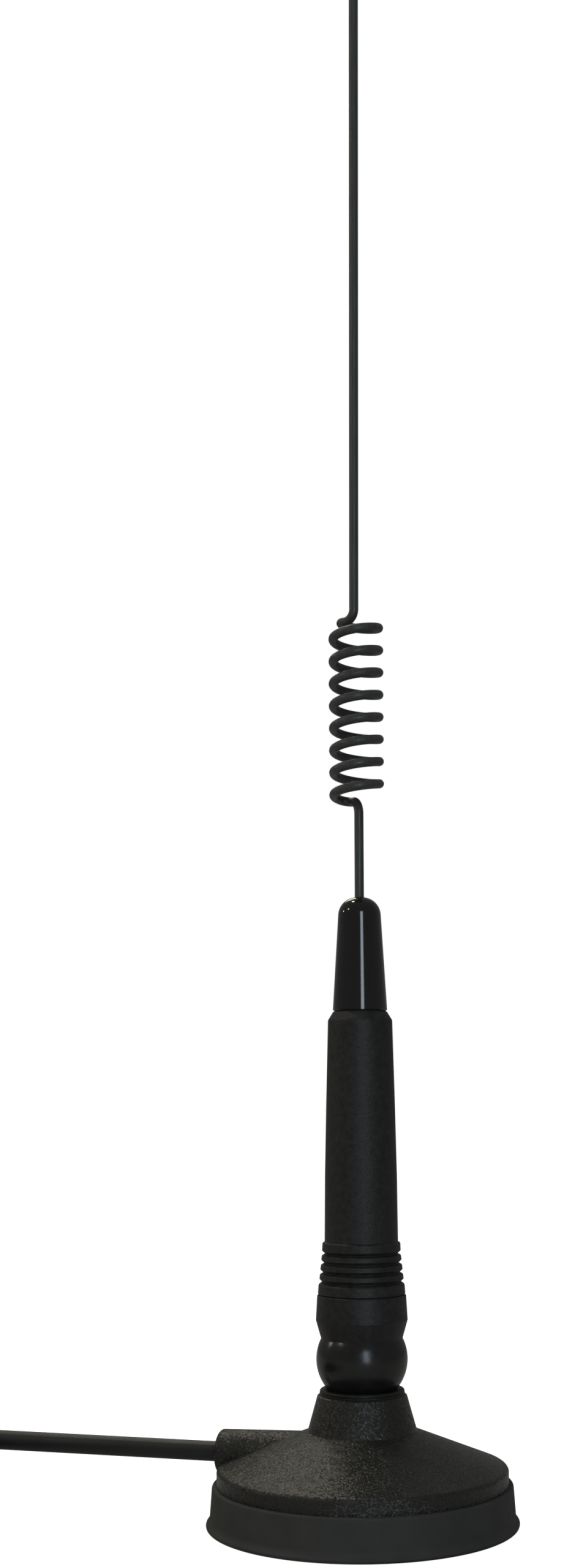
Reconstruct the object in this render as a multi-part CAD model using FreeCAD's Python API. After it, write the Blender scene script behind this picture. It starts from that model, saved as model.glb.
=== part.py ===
"""Magnetic-mount mobile antenna: base, ball joint, mast, wire whip with an air coil, cable and plug.

Millimetres, +Z up. The origin is the centre of the base's underside, on the surface it stands on. The cable
leaves towards -X. Each node is one real piece, or one group of identical pieces, in parts/NODE.step.
"""
import FreeCAD, Part
import math
import os

os.makedirs("parts", exist_ok=True)
V = FreeCAD.Vector
UP = V(0, 0, 1)

# ---------------------------------------------------------------- driving dimensions
GAP = 0.05                 # running clearance between pieces that turn on each other
FLOOR_T = 0.8              # thickness of rubber under the base
BOOT_R = 37.45             # widest point of the boot's lip
BOOT_TOP = 9.9             # top of the boot's wall
BODY_R = 34.9              # housing's rim
DOME_FOOT = (34.3, 13.9)   # radius and height where the shallow dome leaves the rim
DOME_TOP = (13.1, 22.5)    # where the dome meets the steep cone
CONE_TOP = (10.75, 30.9)   # where the steep cone ends
SOCKET_Z = 31.2            # seat of the socket ring on the cone
RING_TOP = 32.55           # top of the socket ring
SHELF_Z = 27.55            # floor of the ball socket
SHELF_UNDER = 25.4         # underside of that floor

CUP_R = 32.4               # steel cup's outside radius
CUP_TOP = 9.3              # steel cup's top
CUP_PLATE = 2.0            # thickness of its top plate
CUP_WALL = 3.0             # thickness of its rim
MAGNET_R = 27.4            # ring magnet's outside radius
MAGNET_BORE = 15.0         # ring magnet's bore radius
POLE_R = 13.5              # centre pole's radius

GLAND_Z = 15.6             # height of the cable gland's axis
GLAND_R = 5.5              # outside radius of the gland at its mouth
GLAND_ROOT_R = 6.1         # and at its root, where it runs into the steep cone
GLAND_BORE = 3.6           # bore radius of the gland
GLAND_END = 36.1           # distance of the gland's mouth from the mast's axis
GLAND_START = 11.8         # distance of its root
BORE_INNER = 24.0          # inside this distance the gland is open to the base's hollow
GLAND_TURN = 164.0         # its direction in plan, degrees from +X

BALL_Z = 39.65             # height of the ball's centre
BALL_R = 10.95             # ball radius
BALL_CAVITY = 6.6          # radius of the spherical hollow inside the ball
BALL_BORE = 6.03           # bore above that hollow
BALL_TOP = 5.6             # height of the ball's flat top above its centre
NECK_R = 1.5               # tension bolt's neck
BOLT_R = 2.0               # tension bolt's thread
HEAD_R = 6.5               # spherical underside of the tension bolt's head

COLLAR_FOOT = 44.6         # lower edge of the collar on the ball
COLLAR_TOP = 55.0          # top of the collar's skirt
SLEEVE_FOOT = 55.2         # lower edge of the sleeve
SLEEVE_TOP = 122.6         # top of the sleeve
CAP_TOP = 150.0            # top of the cap
CAP_FOOT = 122.9           # lower edge of the cap
HOLDER_TOP = 142.0         # top of the brass whip holder
HOLDER_R = 4.2             # radius of the whip holder inside the cap
WHIP_R = 1.1               # wire radius of the whip
WHIP_FOOT = 120.0          # lower end of the whip, in the holder
TIP_TOP = 440.0            # top of the tip
TIP_R = 1.6                # tip radius
WHIP_TOP = TIP_TOP - TIP_R   # upper end of the wire, at the foot of the tip's round end
STEM_TOP = 169.9           # where the wire leaves the axis below the air coil
UPPER_FOOT = (-0.95, 218.9)  # x and height where it is straight again above the coil
UPPER_END_X = 0.15         # the upper wire leans back to this x at its top
COIL_X = -0.5              # the coil stands this far off the axis
COIL_R = 5.47              # mean radius of the air coil
COIL_PITCH = 5.32          # its rise in one turn
COIL_LOW = (-220.0, 173.85)  # angle in plan, degrees, and height of the coil's lower end
COIL_TURNS = 7.94          # turns from there to its upper end

CABLE_R = 2.475            # radius of the coaxial cable
CABLE_ROUTE = [V(-31.7, 9.1, 15.6), V(-78.5, 22.5, 15.6), V(-104.5, 28.6, 15.9), V(-128.6, 27.5, 18.0)]
TAIL_ROUTE = [V(-172.7, -14.4, 3.15), V(-171.6, -35.9, 4.1), V(-159.9, -54.6, 6.6), V(-140.7, -65.3, 9.0),
              V(-120.7, -65.3, 9.4)]
HANK_CENTRE = V(-132.8, -12.3, 0)   # centre of the put-away coil of cable
HANK_INNER = 17.4          # its inside radius
HANK_OUTER = 42.5          # its outside radius
HANK_FOOT = 0.68           # its underside, on the tie's band
HANK_TOP = 20.48           # its top
TIE_T = 0.6                # thickness of the tie's band
TIE_W = 9.0                # width of the tie's band
TIE_TURN = 300.0           # where the tie sits round the coil, degrees

PLUG_REAR = V(-127.0, -65.3, 9.4)  # middle of the plug's rear face; the plug points along +X
RING_R = 9.3               # coupling ring's outside radius
RING_BORE = 7.45           # coupling ring's thread, as a bore
PIN_R = 1.95               # plug's centre pin
PIN_STEM_R = 1.6           # its thinner part, in the insulator
PIN_START = 29.2           # where its full radius starts, from the plug's rear face
PIN_END = 41.0             # its tip, from there


# ---------------------------------------------------------------- helpers
def save(name, shape):
    """Write one node, as one solid or a compound of separate solids."""
    solids = shape.Solids
    bad = [s for s in solids if not s.isValid() or s.Volume <= 0]
    note = "  BAD" if bad or not solids else ""
    print("%-18s %2d solid(s) %10.1f mm3%s" % (name, len(solids), shape.Volume, note))
    out = solids[0] if len(solids) == 1 else Part.makeCompound(solids)
    out.exportStep("parts/%s.step" % name)


def turned(outline, centre_z=0.0):
    """Revolve a closed outline of (r, z) points about Z; (r, z, via_r, via_z) ends an arc through via."""
    points = [V(p[0], 0, p[1] + centre_z) for p in outline]
    edges = []
    for i, p in enumerate(outline):
        a = points[i - 1]
        b = points[i]
        if (a - b).Length < 1e-7:
            continue
        if len(p) == 4:
            edges.append(Part.Arc(a, V(p[2], 0, p[3] + centre_z), b).toShape())
        else:
            edges.append(Part.LineSegment(a, b).toShape())
    return Part.Face(Part.Wire(edges)).revolve(V(0, 0, 0), UP, 360)


def ring(r_in, r_out, z0, z1):
    """A plain ring, or a disc where r_in is 0, with its edges broken."""
    c = min(0.25, (z1 - z0) / 4, (r_out - r_in) / 4)
    return turned([(r_in, z0), (r_out - c, z0), (r_out, z0 + c), (r_out, z1 - c), (r_out - c, z1),
                   (r_in, z1)])


def rod(start, direction, length, radius):
    return Part.makeCylinder(radius, length, start, direction)


def hexagon(across_flats, z0, z1):
    corner = V(across_flats / math.sqrt(3), 0, z0)
    turns = [FreeCAD.Rotation(UP, a) for a in range(0, 361, 60)]
    pts = [turn.multVec(corner) for turn in turns]
    return Part.Face(Part.makePolygon(pts)).extrude(V(0, 0, z1 - z0))


def at_angle(shape, degrees, about=V(0, 0, 0)):
    out = shape.copy()
    out.rotate(about, UP, degrees)
    return out


def on_sphere(radius, polar):
    """(r, z) on a sphere about the ball's centre, z from that centre, polar degrees from straight down."""
    a = math.radians(polar)
    return (radius * math.sin(a), -radius * math.cos(a))


def tube_along(path, radius):
    """A round rod along a smooth wire."""
    first = path.OrderedEdges[0]
    start = first.valueAt(first.FirstParameter)
    ahead = first.tangentAt(first.FirstParameter)
    if first.Orientation == "Reversed":
        start = first.valueAt(first.LastParameter)
        ahead = first.tangentAt(first.LastParameter) * -1
    profile = Part.Wire(Part.Circle(start, ahead, radius).toShape())
    return path.makePipeShell([profile], True, False)


def cord_tube(points, radius, name):
    """Straight runs joined by tangent arcs, each arc as large as its two runs allow."""
    edges = []
    here = points[0]
    for before, corner, after in zip(points, points[1:], points[2:]):
        back = (before - corner).normalize()
        ahead = (after - corner).normalize()
        turn = math.pi - back.getAngle(ahead)
        reach = 0.45 * min((before - corner).Length, (after - corner).Length)
        arc_r = reach / math.tan(turn / 2)
        bisector = (back + ahead).normalize()
        middle = corner + bisector * (arc_r / math.cos(turn / 2) - arc_r)
        p = corner + back * reach
        q = corner + ahead * reach
        edges.append(Part.LineSegment(here, p).toShape())
        edges.append(Part.Arc(p, middle, q).toShape())
        here = q
        print("  %s arc radius %.1f mm, turn %.1f degrees" % (name, arc_r, math.degrees(turn)))
    edges.append(Part.LineSegment(here, points[-1]).toShape())
    path = Part.Wire(edges)
    tube = tube_along(path, radius)
    swept = math.pi * radius**2 * path.Length
    print("  %s volume %.1f mm3, section x length %.1f mm3" % (name, tube.Volume, swept))
    return tube


def biarc(p0, t0, p1, t1):
    """Two tangent arcs from p0, leaving along t0, to p1, arriving along t1."""
    v = p1 - p0
    a = 2 * (1 - t0.dot(t1))
    b = 2 * v.dot(t0 + t1)
    d = (-b + math.sqrt(b * b + 4 * a * v.dot(v))) / (2 * a)
    q0 = p0 + t0 * d
    q1 = p1 - t1 * d
    joint = (q0 + q1) * 0.5
    out = []
    for start, corner, end in ((p0, q0, joint), (joint, q1, p1)):
        back = (start - corner).normalize()
        ahead = (end - corner).normalize()
        turn = math.pi - back.getAngle(ahead)
        arc_r = d / math.tan(turn / 2)
        middle = corner + (back + ahead).normalize() * (arc_r / math.cos(turn / 2) - arc_r)
        out.append(Part.Arc(start, middle, end).toShape())
    return out


# ---------------------------------------------------------------- base
gland_way = V(math.cos(math.radians(GLAND_TURN)), math.sin(math.radians(GLAND_TURN)), 0)
screw_turns = [GLAND_TURN + 60, GLAND_TURN + 180, GLAND_TURN + 300]
SCREW_AT = 9.0             # distance of the cup screws from the axis
SCREW_R = 1.4              # their thread radius
ROOF_TOP = (11.0, 20.7)    # inside of the dome, at its top
ROOF_FOOT = (CUP_R + 0.2, 12.0)   # and over the steel cup's edge


def roof_height(r):
    """Height of the dome's inside at a distance from the axis."""
    return ROOF_TOP[1] + (ROOF_FOOT[1] - ROOF_TOP[1]) * (r - ROOF_TOP[0]) / (ROOF_FOOT[0] - ROOF_TOP[0])


def make_housing():
    wall = turned([
        (BODY_R, FLOOR_T), (BODY_R, 12.7), (*DOME_FOOT, 34.74, 13.5), DOME_TOP, CONE_TOP,
        (10.3, SOCKET_Z), (9.9, SOCKET_Z), (9.9, 28.2), (9.2, 28.2), (9.2, SHELF_Z), (BOLT_R + 0.1, SHELF_Z),
        (BOLT_R + 0.1, SHELF_UNDER), (10.4, SHELF_UNDER), ROOF_TOP, ROOF_FOOT, (CUP_R + 0.2, FLOOR_T)])
    tube = Part.makeCone(GLAND_ROOT_R, GLAND_R, GLAND_END - GLAND_START,
                         gland_way * GLAND_START + V(0, 0, GLAND_Z), gland_way)
    mouth = [e for e in tube.Edges if e.Curve.TypeId == "Part::GeomCircle"
             and (e.Curve.Center - gland_way * GLAND_END).dot(gland_way) > -0.01]
    tube = tube.makeFillet(0.9, mouth)
    hollow = turned([(0, CUP_TOP), (BORE_INNER, CUP_TOP), (BORE_INNER, roof_height(BORE_INNER)), ROOF_TOP,
                     (0, ROOF_TOP[1])])
    body = wall.fuse(tube.cut(hollow))
    for turn in screw_turns:
        boss = rod(V(SCREW_AT, 0, CUP_TOP), UP, 14.0, 3.2)
        body = body.fuse(at_angle(boss, turn))
    # the ball socket and the bolt's way stay open where bosses and gland reach them
    body = body.cut(ring(0, 9.2, SHELF_Z, SOCKET_Z + 1))
    body = body.cut(rod(V(0, 0, 15.0), UP, SHELF_UNDER - 15.0, 5.6))
    body = body.cut(rod(gland_way * 8.0 + V(0, 0, GLAND_Z), gland_way, 30.0, GLAND_BORE))
    for turn in screw_turns:
        hole = rod(V(SCREW_AT, 0, CUP_TOP - 1), UP, 9.0, SCREW_R)
        body = body.cut(at_angle(hole, turn))
    return body.removeSplitter()


save("base_housing", make_housing())

save("rubber_boot", turned([
    (30.0, 0), (36.8, 0), (BOOT_R, 0.55, 37.26, 0.16), (37.25, 1.15, 37.43, 0.9), (36.52, 2.9, 36.72, 1.9),
    (36.04, 9.35), (35.5, BOOT_TOP, 35.88, 9.74), (BODY_R, BOOT_TOP), (BODY_R, FLOOR_T), (30.0, FLOOR_T)]))

save("base_pad", ring(0, 29.9, 0, FLOOR_T))

cup = turned([
    (0, CUP_TOP), (0, CUP_TOP - CUP_PLATE), (CUP_R - CUP_WALL, CUP_TOP - CUP_PLATE),
    (CUP_R - CUP_WALL, FLOOR_T), (CUP_R, FLOOR_T), (CUP_R, CUP_TOP - 0.8), (CUP_R - 0.8, CUP_TOP)])
for turn in screw_turns:
    cup = cup.cut(at_angle(rod(V(SCREW_AT, 0, 0), UP, 12, SCREW_R + 0.15), turn))
save("steel_cup", cup)

magnet_top = CUP_TOP - CUP_PLATE
save("ring_magnet", ring(MAGNET_BORE, MAGNET_R, FLOOR_T, magnet_top))
save("magnet_spacer", ring(MAGNET_R, CUP_R - CUP_WALL, FLOOR_T + 1.2, magnet_top))

pole = ring(0, POLE_R, FLOOR_T, magnet_top)
for turn in screw_turns:
    pole = pole.cut(at_angle(rod(V(SCREW_AT, 0, 0), UP, 12, SCREW_R + 0.15), turn))
    pole = pole.cut(at_angle(rod(V(SCREW_AT, 0, 0), UP, 3.2, 2.9), turn))
save("centre_pole", pole)


def make_cup_screw():
    """Pan head, shank and cross slot, standing on the pole's counterbore."""
    head = turned([(0, 1.4), (2.3, 1.4), (2.6, 1.8), (2.6, 3.2), (0, 3.2)])
    shank = turned([(0, 3.2), (SCREW_R, 3.2), (SCREW_R, 16.4), (SCREW_R - 0.5, 17.1), (0, 17.1)])
    screw = head.fuse(shank).removeSplitter()
    for turn in (0, 90):
        slot = Part.makeBox(2.8, 0.5, 0.9, V(-1.4, -0.25, 1.3))
        screw = screw.cut(at_angle(slot, turn))
    screw.translate(V(SCREW_AT, 0, 0))
    return screw


save("cup_screws", Part.makeCompound([at_angle(make_cup_screw(), turn) for turn in screw_turns]))

# a flange on the cone's top, a fine groove, then a rounded bead close to the ball
RING_LIP = RING_TOP - 0.6
save("socket_ring", turned([
    (9.2, 28.2), (9.9, 28.2), (9.9, SOCKET_Z), (10.1, SOCKET_Z), (10.22, SOCKET_Z + 0.12),
    (10.22, SOCKET_Z + 0.42), (10.0, SOCKET_Z + 0.54), (10.0, SOCKET_Z + 0.64), (10.16, SOCKET_Z + 0.78),
    (9.5, RING_TOP, 10.0, RING_TOP - 0.16), (8.45, RING_TOP), (8.45, RING_LIP), (9.2, RING_LIP)]))

# grommet in the gland's mouth: a rubber sleeve round the cable
grommet = rod(gland_way * 26.0 + V(0, 0, GLAND_Z), gland_way, 9.6, GLAND_BORE)
grommet = grommet.cut(rod(gland_way * 25.0 + V(0, 0, GLAND_Z), gland_way, 12.0, CABLE_R))
save("cable_grommet", grommet)

# jacketed cable end inside the base, with a crimped ferrule that stops it at the gland's inner end
FERRULE_R = 3.4
ferrule = rod(gland_way * 12.6 + V(0, 0, GLAND_Z), gland_way, 3.4, FERRULE_R)
ferrule = ferrule.cut(rod(gland_way * 12.0 + V(0, 0, GLAND_Z), gland_way, 5.0, CABLE_R))
save("cable_ferrule", ferrule)
save("cable_end", rod(gland_way * 12.2 + V(0, 0, GLAND_Z), gland_way, 20.75, CABLE_R))

# centre conductor, from the cable to the contact tag round the tension bolt
TAG_Z = 19.6
core_start = gland_way * 12.2 + V(0, 0, GLAND_Z)
core = rod(core_start, gland_way * -1, 3.0, 1.45)
save("cable_dielectric", core)
wire_start = gland_way * 9.2 + V(0, 0, GLAND_Z)
wire_run = Part.Wire([
    Part.LineSegment(wire_start, gland_way * 7.4 + V(0, 0, GLAND_Z)).toShape(),
    Part.Arc(gland_way * 7.4 + V(0, 0, GLAND_Z), gland_way * 6.339 + V(0, 0, GLAND_Z + 0.439),
             gland_way * 5.9 + V(0, 0, GLAND_Z + 1.5)).toShape(),
    Part.LineSegment(gland_way * 5.9 + V(0, 0, GLAND_Z + 1.5), gland_way * 5.9 + V(0, 0, TAG_Z)).toShape()])
save("feed_wire", tube_along(wire_run, 0.45))

tag = ring(BOLT_R + 0.15, 4.0, TAG_Z, TAG_Z + 0.5)
strip = Part.makeBox(4.6, 2.4, 0.5, V(3.0, -1.2, TAG_Z))
strip = at_angle(strip, GLAND_TURN)
save("contact_tag", tag.fuse(strip).removeSplitter())

# shield lug: a flat tail from the ferrule down to the steel cup, with an eye under a small screw
LUG_AT = 19.5
lug = Part.makeBox(4.0, 4.0, 0.5, V(LUG_AT - 5.0, -2.0, CUP_TOP))
lug = lug.fuse(rod(V(LUG_AT, 0, CUP_TOP), UP, 0.5, 3.0))
lug = lug.fuse(Part.makeBox(0.5, 4.0, GLAND_Z - FERRULE_R - CUP_TOP, V(LUG_AT - 5.0, -2.0, CUP_TOP)))
lug = lug.cut(rod(V(LUG_AT, 0, CUP_TOP - 1), UP, 3, 1.1))
save("shield_lug", at_angle(lug, GLAND_TURN))
lug_screw = turned([(0, 0.5), (2.0, 0.5), (2.0, 1.3), (1.5, 1.9), (0, 1.9)])
lug_screw = lug_screw.cut(Part.makeBox(4.4, 0.5, 0.7, V(-2.2, -0.25, 1.3)))
lug_screw.translate(V(LUG_AT, 0, CUP_TOP))
save("lug_screw", at_angle(lug_screw, GLAND_TURN))

# ---------------------------------------------------------------- swivel: what turns with the ball about Z
seat_foot = SHELF_Z + GAP - BALL_Z
seat_top = RING_LIP - 0.1 - BALL_Z
seat_r = BALL_R + GAP
seat_bore = NECK_R + 0.1
save("ball_seat", turned([
    (seat_bore, seat_foot), (9.15, seat_foot), (9.15, seat_top),
    (math.sqrt(seat_r**2 - seat_top**2), seat_top),
    (seat_bore, -math.sqrt(seat_r**2 - seat_bore**2), *on_sphere(seat_r, 24))], BALL_Z))

head_edge = on_sphere(HEAD_R, 50)
neck_edge = (NECK_R, -math.sqrt(HEAD_R**2 - NECK_R**2))
bolt = turned([
    (0, head_edge[1]), head_edge, (*neck_edge, *on_sphere(HEAD_R, 30)), (NECK_R, SHELF_Z - BALL_Z),
    (BOLT_R, SHELF_Z - 0.5 - BALL_Z), (BOLT_R, 18.3 - BALL_Z), (BOLT_R - 0.5, 17.8 - BALL_Z),
    (0, 17.8 - BALL_Z)], BALL_Z)
bolt = bolt.cut(Part.makeBox(12, 0.9, 0.8, V(-6, -0.45, BALL_Z + head_edge[1] - 0.8)))
save("tension_bolt", bolt)

save("spring_washer", turned([
    (BOLT_R, 24.3), (BOLT_R + 0.6, 24.3), (4.9, 24.85), (4.9, SHELF_UNDER - GAP),
    (BOLT_R + 1.0, SHELF_UNDER - 0.5), (BOLT_R, SHELF_UNDER - 0.5)]))
save("lock_nut", hexagon(7.0, 21.1, 24.3).cut(rod(V(0, 0, 20), UP, 6, BOLT_R)))

# ---------------------------------------------------------------- mast
ball_at_top = math.sqrt(BALL_R**2 - BALL_TOP**2)
save("ball", turned([
    on_sphere(BALL_CAVITY, 30), on_sphere(BALL_R, 30), (ball_at_top, BALL_TOP, BALL_R, 0),
    (BALL_BORE, BALL_TOP), (BALL_BORE, -math.sqrt(BALL_CAVITY**2 - BALL_BORE**2)),
    (*on_sphere(BALL_CAVITY, 30), *on_sphere(BALL_CAVITY, 48))], BALL_Z))

save("ball_stud", turned([
    (0, 38.65), (BALL_BORE - 0.5, 38.65), (BALL_BORE, 39.15), (BALL_BORE, 50.0), (4.0, 50.0), (4.0, 62.4),
    (3.4, 63.0), (0, 63.0)]))

ball_at_foot = math.sqrt(BALL_R**2 - (COLLAR_FOOT - BALL_Z)**2)
ball_between = (COLLAR_FOOT - BALL_Z + BALL_TOP) / 2
save("lower_collar", turned([
    (ball_at_foot, COLLAR_FOOT), (11.0, 49.0, 10.42, 46.9), (10.66, COLLAR_TOP - 0.2), (10.46, COLLAR_TOP),
    (8.1, COLLAR_TOP), (8.1, 59.7), (7.8, 60.0), (4.0, 60.0), (4.0, 50.0), (BALL_BORE, 50.0),
    (BALL_BORE, BALL_Z + BALL_TOP), (ball_at_top, BALL_Z + BALL_TOP),
    (ball_at_foot, COLLAR_FOOT, math.sqrt(BALL_R**2 - ball_between**2), BALL_Z + ball_between)]))

save("sleeve_gasket", ring(8.1, 10.2, COLLAR_TOP, SLEEVE_FOOT))


def make_sleeve():
    """Flat-faced grip ribs at the foot, a ledge, then a long taper with a chamfered top."""
    groove_z = 58.05
    groove_step = 2.26
    groove_r = 9.48
    groove_taper = 0.24
    outline = [(8.15, SLEEVE_FOOT), (10.36, SLEEVE_FOOT), (10.47, SLEEVE_FOOT + 0.15), (10.33, 57.3),
               (10.16, 57.62), (groove_r, groove_z)]
    for i in range(3):
        z = groove_z + groove_step * i
        r = groove_r - groove_taper * i
        outline += [(r, z + 0.14), (r + 0.62, z + 0.78), (r + 0.49, z + 1.76), (r + 0.38, z + 1.9),
                    (r - groove_taper, z + groove_step - 0.06), (r - groove_taper, z + groove_step)]
    outline += [(8.78, 64.95), (9.42, 65.55), (9.34, 67.28), (9.22, 67.44), (8.8, 67.7), (8.62, 83.3),
                (8.22, 100.9), (7.7, 120.3), (7.58, 120.75, 7.66, 120.55), (6.62, 122.3),
                (6.36, SLEEVE_TOP, 6.51, 122.52), (4.6, SLEEVE_TOP), (4.6, 119.6), (6.2, 119.6), (6.2, 92.0),
                (7.0, 92.0), (7.0, 60.1), (8.15, 60.1)]
    return turned(outline)


save("sleeve", make_sleeve())

save("coil_former", turned([
    (2.0, 63.3), (6.6, 63.3), (6.6, 65.3), (4.6, 65.3), (4.6, 110.0), (6.1, 110.0), (6.1, 112.0),
    (2.0, 112.0)]))


def make_winding():
    """Close-wound enamelled wire on the former, one ridge for each turn."""
    foot = 65.6
    step = 1.6
    turns = 27
    outline = [(4.6, foot), (4.9, foot)]
    for i in range(turns):
        z = foot + step * i
        outline += [(5.5, z + step * 0.3), (5.5, z + step * 0.7), (4.9, z + step)]
    outline.append((4.6, foot + step * turns))
    return turned(outline)


save("loading_winding", make_winding())

holder = turned([
    (0, 112.0), (5.9, 112.0), (6.1, 112.4), (6.1, 116.0), (4.55, 116.4), (4.55, SLEEVE_TOP - 0.5),
    (HOLDER_R, SLEEVE_TOP), (HOLDER_R, HOLDER_TOP - 0.5), (HOLDER_R - 0.5, HOLDER_TOP), (0, HOLDER_TOP)])
holder = holder.cut(rod(V(0, 0, WHIP_FOOT), UP, 30, WHIP_R))
SET_SCREW_Z = (130.0, 136.5)
SET_SCREW_R = 1.25
for z in SET_SCREW_Z:
    holder = holder.cut(rod(V(0, 0, z), V(1, 0, 0), 6, SET_SCREW_R))
save("whip_holder", holder)

set_screws = []
for z in SET_SCREW_Z:
    screw = rod(V(WHIP_R, 0, z), V(1, 0, 0), HOLDER_R - WHIP_R - 0.1, SET_SCREW_R)
    screw = screw.cut(Part.makeBox(1.0, 0.5, 3, V(HOLDER_R - 0.9, -0.25, z - 1.5)))
    screw = screw.cut(rod(V(0, 0, z - 3), UP, 6, WHIP_R))
    set_screws.append(screw)
save("set_screws", Part.makeCompound(set_screws))

save("cap_gasket", ring(4.7, 6.2, SLEEVE_TOP, CAP_FOOT))

save("whip_cap", turned([
    (HOLDER_R + 0.05, CAP_FOOT), (6.38, CAP_FOOT), (6.5, CAP_FOOT + 0.15), (5.1, 145.8),
    (2.25, 149.68, 4.2, 148.25), (WHIP_R, CAP_TOP), (WHIP_R, HOLDER_TOP + 0.2),
    (HOLDER_R + 0.05, HOLDER_TOP + 0.2)]))


def make_whip():
    """One wire: stem, bend out to the air coil, the coil, bend back, long upper length."""
    turn_low, z_low = COIL_LOW
    turns = COIL_TURNS
    helix = Part.makeHelix(COIL_PITCH, COIL_PITCH * turns, COIL_R)
    helix.rotate(V(0, 0, 0), UP, turn_low)
    helix.translate(V(COIL_X, 0, z_low))
    rise = COIL_PITCH / (2 * math.pi * COIL_R)

    def on_coil(t):
        a = math.radians(turn_low) + 2 * math.pi * t
        p = V(COIL_X + COIL_R * math.cos(a), COIL_R * math.sin(a), z_low + COIL_PITCH * t)
        return p, V(-math.sin(a), math.cos(a), rise).normalize()

    low, low_way = on_coil(0)
    high, high_way = on_coil(turns)
    stem_top = V(0, 0, STEM_TOP)
    upper_foot = V(UPPER_FOOT[0], 0, UPPER_FOOT[1])
    upper_end = V(UPPER_END_X, 0, WHIP_TOP)
    edges = [Part.LineSegment(V(0, 0, WHIP_FOOT), stem_top).toShape()]
    edges += biarc(stem_top, UP, low, low_way)
    edges += helix.Edges
    edges += biarc(high, high_way, upper_foot, (upper_end - upper_foot).normalize())
    edges.append(Part.LineSegment(upper_foot, upper_end).toShape())
    for e in edges:
        if e.Curve.TypeId == "Part::GeomCircle":
            print("  whip bend radius %.2f mm" % e.Curve.Radius)
    pieces = [tube_along(Part.Wire([e]), WHIP_R) for e in edges]
    whip = pieces[0]
    for piece in pieces[1:]:
        whip = whip.fuse(piece)
    print("  whip wire length %.1f mm" % sum(e.Length for e in edges))
    return whip


save("whip", make_whip())

dome_mid = TIP_R * math.sqrt(0.5)
tip = turned([(WHIP_R, 433.0), (TIP_R - 0.2, 433.0), (TIP_R, 433.2), (TIP_R, WHIP_TOP),
              (0, TIP_TOP, dome_mid, WHIP_TOP + dome_mid), (0, WHIP_TOP), (WHIP_R, WHIP_TOP)])
upper_lean = math.degrees(math.atan((UPPER_END_X - UPPER_FOOT[0]) / (WHIP_TOP - UPPER_FOOT[1])))
tip.rotate(V(0, 0, WHIP_TOP), V(0, 1, 0), upper_lean)
tip.translate(V(UPPER_END_X, 0, 0))
save("whip_tip", tip)

# ---------------------------------------------------------------- cable, its put-away coil and the plug
save("coax_cable", cord_tube(CABLE_ROUTE, CABLE_R, "coax_cable"))
save("coax_tail", cord_tube(TAIL_ROUTE, CABLE_R, "coax_tail"))

hank = turned([
    (HANK_INNER, HANK_FOOT + 2.0), (HANK_INNER + 2.0, HANK_FOOT), (HANK_OUTER - 2.0, HANK_FOOT),
    (HANK_OUTER, HANK_FOOT + 2.0), (HANK_OUTER, HANK_TOP - 2.0), (HANK_OUTER - 2.0, HANK_TOP),
    (HANK_INNER + 2.0, HANK_TOP), (HANK_INNER, HANK_TOP - 2.0)])
hank.translate(HANK_CENTRE)
save("cable_coil", hank)

hank_wide = HANK_OUTER - HANK_INNER
hank_high = HANK_TOP - HANK_FOOT
tie_in = Part.makeBox(hank_wide, TIE_W, hank_high, V(HANK_INNER, -TIE_W / 2, HANK_FOOT))
tie_out = Part.makeBox(hank_wide + 2 * TIE_T + 0.4, TIE_W, hank_high + 2 * TIE_T,
                       V(HANK_INNER - TIE_T - 0.2, -TIE_W / 2, HANK_FOOT - TIE_T))
tie_out = tie_out.makeFillet(1.4, [e for e in tie_out.Edges if abs(e.tangentAt(e.FirstParameter).y) > 0.9])
tie = tie_out.cut(tie_in)
tie.translate(HANK_CENTRE)
tie = at_angle(tie, TIE_TURN, HANK_CENTRE).cut(hank)
save("coil_tie", tie)


def plug_placed(shape):
    """Lay a shape made along +Z from the origin down along the plug's axis."""
    shape.rotate(V(0, 0, 0), V(0, 1, 0), 90)
    shape.translate(PLUG_REAR)
    return shape


def plug_turned(outline):
    """An outline of (r, distance from the plug's rear face), turned about the plug's axis."""
    return plug_placed(turned(outline))


save("plug_reducer", plug_turned([
    (CABLE_R, 0), (5.2, 0), (5.6, 0.4), (5.6, 5.6), (5.2, 6.0), (4.8, 6.0), (4.8, 14.0), (CABLE_R, 14.0)]))
save("plug_body", plug_turned([
    (4.8, 6.0), (5.8, 6.0), (6.1, 6.3), (6.1, 13.0), (6.6, 13.5), (6.6, 20.0), (7.2, 20.2), (7.2, 22.0),
    (6.0, 22.4), (6.0, 29.6), (5.6, 30.0), (3.9, 30.0), (3.9, 16.0), (4.8, 16.0)]))
save("plug_insulator", plug_turned([
    (PIN_STEM_R, 19.0), (3.9, 19.0), (3.9, PIN_START - 0.4), (PIN_STEM_R, PIN_START - 0.4)]))
save("plug_pin", plug_turned([
    (0, 15.0), (PIN_STEM_R, 15.0), (PIN_STEM_R, PIN_START), (PIN_R, PIN_START), (PIN_R, PIN_END - 1.0),
    (1.0, PIN_END, 1.68, PIN_END - 0.3), (0, PIN_END)]))


def make_coupling_ring():
    """Knurled ring that turns on the plug's body and screws onto the radio's socket."""
    ring_body = turned([
        (6.7, 15.0), (8.6, 15.0), (RING_R, 15.7), (RING_R, 37.3), (8.8, 38.0), (RING_BORE + 0.4, 38.0),
        (RING_BORE, 37.5), (RING_BORE, 19.5), (6.7, 19.5)])
    flutes = 24
    for i in range(flutes):
        a = 2 * math.pi * i / flutes
        flute = rod(V((RING_R + 0.35) * math.cos(a), (RING_R + 0.35) * math.sin(a), 18.0), UP, 17.0, 0.75)
        ring_body = ring_body.cut(flute)
    return plug_placed(ring_body)


save("coupling_ring", make_coupling_ring())
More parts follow.
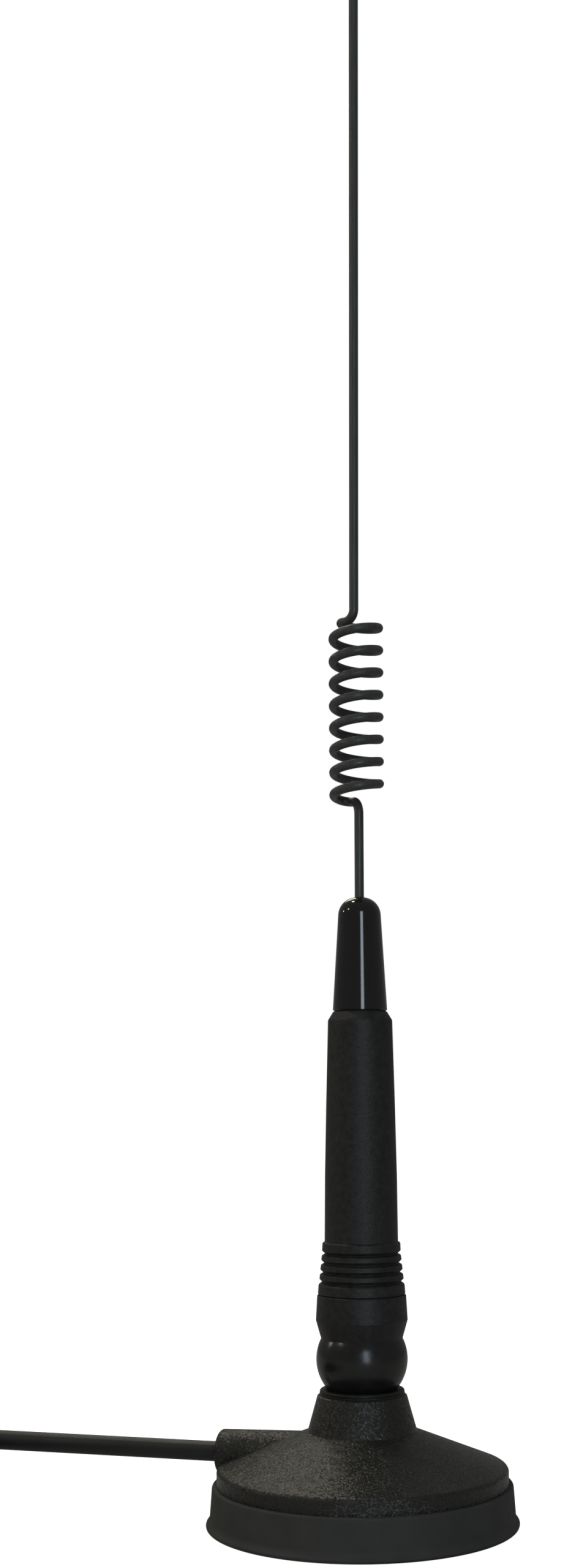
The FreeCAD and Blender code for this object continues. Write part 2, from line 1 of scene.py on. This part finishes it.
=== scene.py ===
"""Looks of the magnetic-mount mobile antenna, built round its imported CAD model. Metres, +Z up."""
import math

import bpy
from mathutils import Matrix, Vector


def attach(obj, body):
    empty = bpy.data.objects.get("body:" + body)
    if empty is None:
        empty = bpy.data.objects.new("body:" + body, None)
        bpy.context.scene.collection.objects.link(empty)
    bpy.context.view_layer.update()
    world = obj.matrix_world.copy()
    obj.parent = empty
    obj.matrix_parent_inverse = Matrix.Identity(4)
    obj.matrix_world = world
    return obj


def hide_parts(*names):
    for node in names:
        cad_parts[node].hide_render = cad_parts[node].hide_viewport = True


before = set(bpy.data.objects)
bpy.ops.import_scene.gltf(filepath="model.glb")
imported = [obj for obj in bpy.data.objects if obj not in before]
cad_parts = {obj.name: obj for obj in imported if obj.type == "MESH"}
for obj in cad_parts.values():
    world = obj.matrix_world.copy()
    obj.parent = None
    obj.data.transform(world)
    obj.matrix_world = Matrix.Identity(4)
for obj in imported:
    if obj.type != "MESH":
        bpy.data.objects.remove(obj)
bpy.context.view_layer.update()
MM = 0.001

# ---------------------------------------------------------------- camera
EYE = Vector((0.0, -0.446, 0.1072))   # level with the upper part of the sleeve
LENS = 42.8
ROLL = math.radians(-0.33)            # the mast leans very slightly to the left in the picture
SHIFT = (-0.0500, 0.1863)


def make_camera():
    data = bpy.data.cameras.new("camera")
    data.lens = LENS
    data.sensor_width = 36.0
    data.shift_x, data.shift_y = SHIFT
    data.clip_start = 0.01
    data.clip_end = 50.0
    camera = bpy.data.objects.new("camera", data)
    camera.matrix_world = (Matrix.Translation(EYE) @ Matrix.Rotation(math.radians(90), 4, "X")
                           @ Matrix.Rotation(ROLL, 4, "Z"))
    bpy.context.scene.collection.objects.link(camera)
    bpy.context.scene.camera = camera


make_camera()

# ---------------------------------------------------------------- cable
CABLE_D = 4.95 * MM
# The route and the coil are in millimetres.
CABLE_LEAD = [(-31.7, 9.1, 15.6), (-78.5, 22.5, 15.6), (-104.5, 28.6, 15.9), (-128.6, 27.5, 18.0)]
CABLE_TAIL = [(-172.7, -14.4, 3.15), (-171.6, -35.9, 4.1), (-159.9, -54.6, 6.6), (-140.7, -65.3, 9.0),
              (-120.7, -65.3, 9.4)]
HANK_CENTRE = (-132.8, -12.3)
HANK_START = 84.0                      # where the lead joins the coil, degrees round its centre
HANK_ROWS = [18.0, 13.05, 8.1, 3.15]   # heights of its four rows
HANK_R = (40.0, 19.87)                 # outermost and innermost turn
HANK_TURNS = 16 + 99 / 360
ROW_CHANGE = 75 / 360                  # the cable changes rows over this much of a turn on each side
POINTS_PER_TURN = 16


def hank_points():
    """Flat spirals, in and out by turns, each row under the last."""
    out = []
    rows = len(HANK_ROWS)
    row_turns = HANK_TURNS / rows
    grow = 1 / math.cos(math.pi / POINTS_PER_TURN)   # the spline cuts inside its points by this much
    count = int(round(HANK_TURNS * POINTS_PER_TURN))
    for i in range(1, count):
        turn = HANK_TURNS * i / count
        row = min(int(turn / row_turns), rows - 1)
        along = turn / row_turns - row
        inward = along if row % 2 == 0 else 1 - along
        r = (HANK_R[0] + (HANK_R[1] - HANK_R[0]) * inward) * grow
        z = HANK_ROWS[row]
        for other, mark in ((row - 1, row * row_turns), (row + 1, (row + 1) * row_turns)):
            if 0 <= other < rows and abs(turn - mark) < ROW_CHANGE:
                part = 0.5 * (1 - abs(turn - mark) / ROW_CHANGE)
                part = part * part * (3 - 2 * part)
                z += (HANK_ROWS[other] - HANK_ROWS[row]) * part
        a = math.radians(HANK_START) + 2 * math.pi * turn
        out.append((HANK_CENTRE[0] + r * math.cos(a), HANK_CENTRE[1] + r * math.sin(a), z))
    return out


def make_cable():
    data = bpy.data.curves.new("coax_lead", "CURVE")
    data.dimensions = "3D"
    data.resolution_u = 6
    data.bevel_depth = 1.0             # times each point's own radius
    data.bevel_resolution = 6
    data.use_fill_caps = True
    points = CABLE_LEAD + hank_points() + CABLE_TAIL
    spline = data.splines.new("NURBS")
    spline.points.add(len(points) - 1)
    for p, co in zip(spline.points, points):
        p.co = (co[0] * MM, co[1] * MM, co[2] * MM, 1.0)
        p.radius = CABLE_D / 2
    spline.order_u = 3
    spline.use_endpoint_u = True
    cable = bpy.data.objects.new("coax_lead", data)
    bpy.context.scene.collection.objects.link(cable)
    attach(cable, "base")
    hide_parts("coax_cable", "cable_coil", "coax_tail")
    return cable


cable = make_cable()


# ---------------------------------------------------------------- materials
class Nodes:
    """A small helper that adds and links shader nodes of one material."""

    def __init__(self, name):
        self.material = bpy.data.materials.new(name)
        self.material.use_nodes = True
        self.tree = self.material.node_tree
        self.shader = self.tree.nodes["Principled BSDF"]
        self.place = self.add("ShaderNodeTexCoord").outputs["Object"]

    def add(self, kind, **settings):
        node = self.tree.nodes.new(kind)
        for key, value in settings.items():
            setattr(node, key, value)
        return node

    def link(self, source, target):
        self.tree.links.new(source, target)

    def noise(self, size, detail=3.0, rough=0.5, stretch=None):
        """Noise whose features are about size metres across."""
        node = self.add("ShaderNodeTexNoise")
        node.inputs["Scale"].default_value = 1.0 / size
        node.inputs["Detail"].default_value = detail
        node.inputs["Roughness"].default_value = rough
        source = self.place
        if stretch:
            mapping = self.add("ShaderNodeMapping")
            mapping.inputs["Scale"].default_value = stretch
            self.link(self.place, mapping.inputs["Vector"])
            source = mapping.outputs["Vector"]
        self.link(source, node.inputs["Vector"])
        return node.outputs["Fac"]

    def ramp(self, source, low, high, low_at=0.3, high_at=0.7):
        """Map a value to a range of values or colours."""
        node = self.add("ShaderNodeMapRange")
        node.inputs["From Min"].default_value = low_at
        node.inputs["From Max"].default_value = high_at
        node.inputs["To Min"].default_value = low
        node.inputs["To Max"].default_value = high
        self.link(source, node.inputs["Value"])
        return node.outputs["Result"]

    def blend(self, factor, colour_a, colour_b):
        node = self.add("ShaderNodeMix", data_type="RGBA")
        node.inputs["A"].default_value = (*colour_a, 1)
        node.inputs["B"].default_value = (*colour_b, 1)
        self.link(factor, node.inputs["Factor"])
        return node.outputs["Result"]

    def math(self, operation, a, b):
        node = self.add("ShaderNodeMath", operation=operation)
        for slot, value in zip(node.inputs, (a, b)):
            if isinstance(value, (int, float)):
                slot.default_value = value
            else:
                self.link(value, slot)
        return node.outputs["Value"]

    def bump(self, height, depth, strength=1.0, under=None):
        node = self.add("ShaderNodeBump")
        node.inputs["Distance"].default_value = depth
        node.inputs["Strength"].default_value = strength
        self.link(height, node.inputs["Height"])
        if under:
            self.link(under, node.inputs["Normal"])
        return node.outputs["Normal"]

    def facets(self, size, tilt):
        """Normals tilted at random, one tilt for each grain of about size metres."""
        cell = self.add("ShaderNodeTexVoronoi")
        cell.inputs["Scale"].default_value = 1.0 / size
        self.link(self.place, cell.inputs["Vector"])
        lean = self.add("ShaderNodeVectorMath", operation="MULTIPLY_ADD")
        lean.inputs[1].default_value = (2 * tilt,) * 3
        lean.inputs[2].default_value = (-tilt,) * 3
        self.link(cell.outputs["Color"], lean.inputs[0])
        total = self.add("ShaderNodeVectorMath", operation="ADD")
        self.link(lean.outputs["Vector"], total.inputs[0])
        self.link(self.add("ShaderNodeNewGeometry").outputs["Normal"], total.inputs[1])
        unit = self.add("ShaderNodeVectorMath", operation="NORMALIZE")
        self.link(total.outputs["Vector"], unit.inputs[0])
        return unit.outputs["Vector"]

    def finish(self, colour=None, roughness=None, normal=None, metallic=0.0, coat=0.0,
               coat_roughness=0.1, specular=0.5, sheen=0.0):
        """Plug colour, roughness and normal into the shader, as values or as sockets."""
        s = self.shader.inputs
        for key, value in (("Base Color", colour), ("Roughness", roughness), ("Normal", normal)):
            if value is None:
                continue
            if isinstance(value, tuple):
                s[key].default_value = (*value, 1)
            elif isinstance(value, (int, float)):
                s[key].default_value = value
            else:
                self.link(value, s[key])
        s["Metallic"].default_value = metallic
        s["Coat Weight"].default_value = coat
        s["Coat Roughness"].default_value = coat_roughness
        s["Specular IOR Level"].default_value = specular
        s["Sheen Weight"].default_value = sheen
        return self.material


def powder_coat():
    """Black powder coat: shiny grains of about 0.3 mm, each with a tilt of its own."""
    n = Nodes("powder_coat")
    grain = n.noise(0.0003, detail=3, rough=0.62)
    colour = n.blend(n.ramp(grain, 0, 1, 0.35, 0.7), (0.004, 0.0042, 0.004), (0.027, 0.0268, 0.022))
    rough = n.ramp(n.noise(0.0009), 0.29, 0.39)
    return n.finish(colour, rough, n.bump(grain, 0.00006, 0.7, n.facets(0.00027, 0.26)), specular=0.47)


def rubber(name, dark, light, rough=0.72, grain=0.00025):
    n = Nodes(name)
    colour = n.blend(n.ramp(n.noise(0.006, 4), 0, 1), dark, light)
    normal = n.bump(n.noise(grain, 2), 0.00003, 0.6)
    return n.finish(colour, n.ramp(n.noise(0.003), rough - 0.06, rough + 0.06), normal, specular=0.4)


def moulded_black(name, grain=0.00022, depth=0.00004, rough=(0.44, 0.54), tone=0.013):
    """Fine-grained black finish: small glinting grains in a mottled ground."""
    n = Nodes(name)
    fine = n.noise(grain, 3, 0.6)
    mottle = n.noise(0.0016, 4, 0.65)
    colour = n.blend(n.ramp(mottle, 0, 1, 0.35, 0.65), (tone * 0.6,) * 3,
                     (tone * 1.35, tone * 1.4, tone * 1.35))
    normal = n.bump(fine, depth, 0.7, n.facets(grain, 0.12))
    return n.finish(colour, n.ramp(mottle, *rough), normal, specular=0.42)


def gloss_black(name, rough=0.09, tone=0.006, ripple=0.00001):
    n = Nodes(name)
    slow = n.noise(0.006, 2)
    colour = n.blend(n.ramp(slow, 0, 1), (tone,) * 3, (tone * 1.3,) * 3)
    normal = n.bump(n.noise(0.0022, 2), ripple, 0.5)
    return n.finish(colour, n.ramp(n.noise(0.0015, 4), rough * 0.8, rough * 1.3), normal, coat=0.4,
                    coat_roughness=0.05, specular=0.5)


def satin_black(name, rough, tone):
    """Smooth paint with a soft, slightly uneven gloss."""
    n = Nodes(name)
    slow = n.noise(0.005, 2)
    colour = n.blend(n.ramp(slow, 0, 1), (tone,) * 3, (tone * 1.4,) * 3)
    normal = n.bump(n.noise(0.0006, 2), 0.000006, 0.6)
    return n.finish(colour, n.ramp(n.noise(0.0012, 4), rough * 0.8, rough * 1.25), normal, specular=0.5)


def wire_coat():
    """Thin black coat on a drawn wire, with faint lengthwise drawing marks."""
    n = Nodes("wire_coat")
    marks = n.noise(0.0004, 3, 0.6, stretch=(1, 1, 0.05))
    colour = n.blend(n.ramp(marks, 0, 1), (0.032, 0.034, 0.034), (0.056, 0.059, 0.059))
    return n.finish(colour, n.ramp(n.noise(0.002), 0.34, 0.46), n.bump(marks, 0.00002, 0.4), specular=0.5)


def metal(name, colour, rough, metallic=1.0):
    """Bare or plated metal with fine, uneven tarnish."""
    n = Nodes(name)
    marks = n.noise(0.0004, 3, 0.6)
    tint = n.blend(n.ramp(marks, 0, 1), tuple(c * 0.86 for c in colour), colour)
    return n.finish(tint, n.ramp(n.noise(0.0015), rough * 0.8, rough * 1.3), n.bump(marks, 0.00001, 0.4),
                    metallic=metallic)


def cable_jacket():
    n = Nodes("cable_jacket")
    fine = n.noise(0.0005, 3)
    colour = n.blend(n.ramp(n.noise(0.01, 3), 0, 1), (0.012, 0.012, 0.0125), (0.018, 0.018, 0.0185))
    return n.finish(colour, n.ramp(fine, 0.40, 0.5), n.bump(fine, 0.00002, 0.4), specular=0.45)


def plastic(name, colour, rough=0.4):
    n = Nodes(name)
    slow = n.noise(0.004, 3)
    tint = n.blend(n.ramp(slow, 0, 1), tuple(c * 0.92 for c in colour), colour)
    return n.finish(tint, n.ramp(slow, rough * 0.9, rough * 1.1), n.bump(n.noise(0.0004), 0.00002, 0.4))


def strap_weave():
    """Short fuzzy loops of a hook-and-loop strap."""
    n = Nodes("strap_weave")
    loops = n.noise(0.0005, 4, 0.7)
    colour = n.blend(n.ramp(loops, 0, 1), (0.008, 0.008, 0.0085), (0.03, 0.03, 0.031))
    return n.finish(colour, 0.88, n.bump(loops, 0.00015, 0.9), specular=0.3, sheen=0.25)


def ferrite():
    n = Nodes("ferrite")
    fine = n.noise(0.0003, 4, 0.7)
    colour = n.blend(n.ramp(fine, 0, 1), (0.03, 0.03, 0.032), (0.06, 0.06, 0.064))
    return n.finish(colour, 0.62, n.bump(fine, 0.00005, 0.8))


LOOKS = {
    powder_coat(): ["base_housing"],
    rubber("boot_rubber", (0.029, 0.0305, 0.0285), (0.039, 0.041, 0.038)): ["rubber_boot", "base_pad"],
    rubber("seal_rubber", (0.008, 0.008, 0.008), (0.014, 0.014, 0.014)): ["cable_grommet", "sleeve_gasket",
                                                                        "cap_gasket"],
    metal("zinc_plate", (0.62, 0.62, 0.58), 0.32): [
        "steel_cup", "centre_pole", "cup_screws", "lug_screw", "tension_bolt", "spring_washer", "lock_nut",
        "ball_stud", "set_screws"],
    metal("nickel_plate", (0.74, 0.72, 0.67), 0.2): [
        "cable_ferrule", "shield_lug", "plug_reducer", "plug_body", "plug_pin", "coupling_ring"],
    metal("brass", (0.72, 0.52, 0.24), 0.28): ["contact_tag", "whip_holder"],
    metal("enamelled_copper", (0.55, 0.2, 0.08), 0.25, metallic=0.9): ["feed_wire", "loading_winding"],
    ferrite(): ["ring_magnet"],
    plastic("natural_nylon", (0.72, 0.69, 0.6)): ["magnet_spacer", "ball_seat", "coil_former"],
    plastic("polyethylene", (0.8, 0.8, 0.77), 0.3): ["cable_dielectric"],
    plastic("ptfe", (0.86, 0.85, 0.81), 0.35): ["plug_insulator"],
    satin_black("ball_paint", 0.24, 0.008): ["ball", "whip_tip"],
    moulded_black("ring_paint", 0.00025, 0.00003, (0.4, 0.5), 0.007): ["socket_ring"],
    gloss_black("cap_gloss", 0.1, 0.005): ["whip_cap"],
    moulded_black("collar_coat", 0.00022, 0.00004, (0.42, 0.5), 0.012): ["lower_collar"],
    moulded_black("sleeve_grain"): ["sleeve"],
    wire_coat(): ["whip"],
    strap_weave(): ["coil_tie"],
}
JACKET = cable_jacket()


def paint(thing, material):
    thing.data.materials.clear()
    thing.data.materials.append(material)


for look, names in LOOKS.items():
    for name in names:
        paint(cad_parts[name], look)
paint(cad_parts["cable_end"], JACKET)
paint(cable, JACKET)
for hidden in ("coax_cable", "cable_coil", "coax_tail"):
    paint(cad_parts[hidden], JACKET)


# ---------------------------------------------------------------- floor and light
FLOOR_WHITE = (0.9, 0.9, 0.9)
FLOOR_BOUNCE = (0.42, 0.42, 0.42)     # the floor as the object sees it, so that black stays black beside it
FLOOR_GLOW = 0.86
SURROUND = 0.15                       # the room as the object sees it
FLOOR_HALF = 6.0


def make_floor():
    mesh = bpy.data.meshes.new("floor")
    corners = [(x * FLOOR_HALF, y * FLOOR_HALF, 0) for x, y in ((-1, -1), (1, -1), (1, 1), (-1, 1))]
    mesh.from_pydata(corners, [], [(0, 1, 2, 3)])
    floor = bpy.data.objects.new("floor", mesh)
    bpy.context.scene.collection.objects.link(floor)
    n = Nodes("floor_paint")
    seen = n.add("ShaderNodeLightPath").outputs["Is Camera Ray"]
    n.link(n.math("MULTIPLY", seen, FLOOR_GLOW), n.shader.inputs["Emission Strength"])
    n.shader.inputs["Emission Color"].default_value = (1, 1, 1, 1)
    paint(floor, n.finish(n.blend(seen, FLOOR_BOUNCE, FLOOR_WHITE), 0.7, specular=0.1))


def area_light(name, spot, aim, size, power, colour, glossy=True):
    data = bpy.data.lights.new(name, "AREA")
    data.shape = "RECTANGLE"
    data.size, data.size_y = size
    data.energy = power
    data.color = colour
    light = bpy.data.objects.new(name, data)
    light.location = spot
    light.rotation_mode = "QUATERNION"
    light.rotation_quaternion = (Vector(aim) - Vector(spot)).to_track_quat("-Z", "Y")
    light.visible_glossy = glossy
    bpy.context.scene.collection.objects.link(light)


def make_lights():
    middle = Vector((0, 0, 0.1))
    ball = Vector((0, 0, 0.04))
    lamp = (0.09, 0.09)
    lamp_left = ball + Vector((-0.898, 0.183, 0.403))
    lamp_front_left = ball + Vector((-0.747, -0.278, 0.603))
    area_light("window", (0.25, -1.25, 0.31), middle, (0.28, 0.6), 2.6, (0.76, 0.89, 1.0))
    area_light("lamp_left", lamp_left, ball, lamp, 0.3, (1.0, 0.86, 0.66))
    area_light("lamp_front_left", lamp_front_left, ball, lamp, 0.45, (1.0, 0.88, 0.7))
    area_light("back_panel", (-0.25, 0.81, 0.86), middle, (0.34, 0.42), 1.2, (1.0, 0.95, 0.74))
    area_light("ceiling", (-0.44, 0.3, 1.4), middle, (0.13, 0.13), 2.4, (1.0, 0.95, 0.84))
    area_light("fill", (-0.15, -0.9, 2.2), middle, (1.6, 1.2), 15.0, (1.0, 0.99, 0.95), glossy=False)
    area_light("wall_left", (-1.5, -1.0, 0.35), middle, (0.7, 0.9), 2.4, (1.0, 0.97, 0.9), glossy=False)


def make_world():
    world = bpy.data.worlds.new("studio")
    world.use_nodes = True
    tree = world.node_tree
    path = tree.nodes.new("ShaderNodeLightPath")
    level = tree.nodes.new("ShaderNodeMapRange")
    level.inputs["To Min"].default_value = SURROUND
    level.inputs["To Max"].default_value = 1.0
    tree.links.new(path.outputs["Is Camera Ray"], level.inputs["Value"])
    tree.links.new(level.outputs["Result"], tree.nodes["Background"].inputs["Strength"])
    tree.nodes["Background"].inputs["Color"].default_value = (1, 1, 1, 1)
    bpy.context.scene.world = world


make_floor()
make_lights()
make_world()
bpy.context.scene.view_settings.view_transform = "Standard"
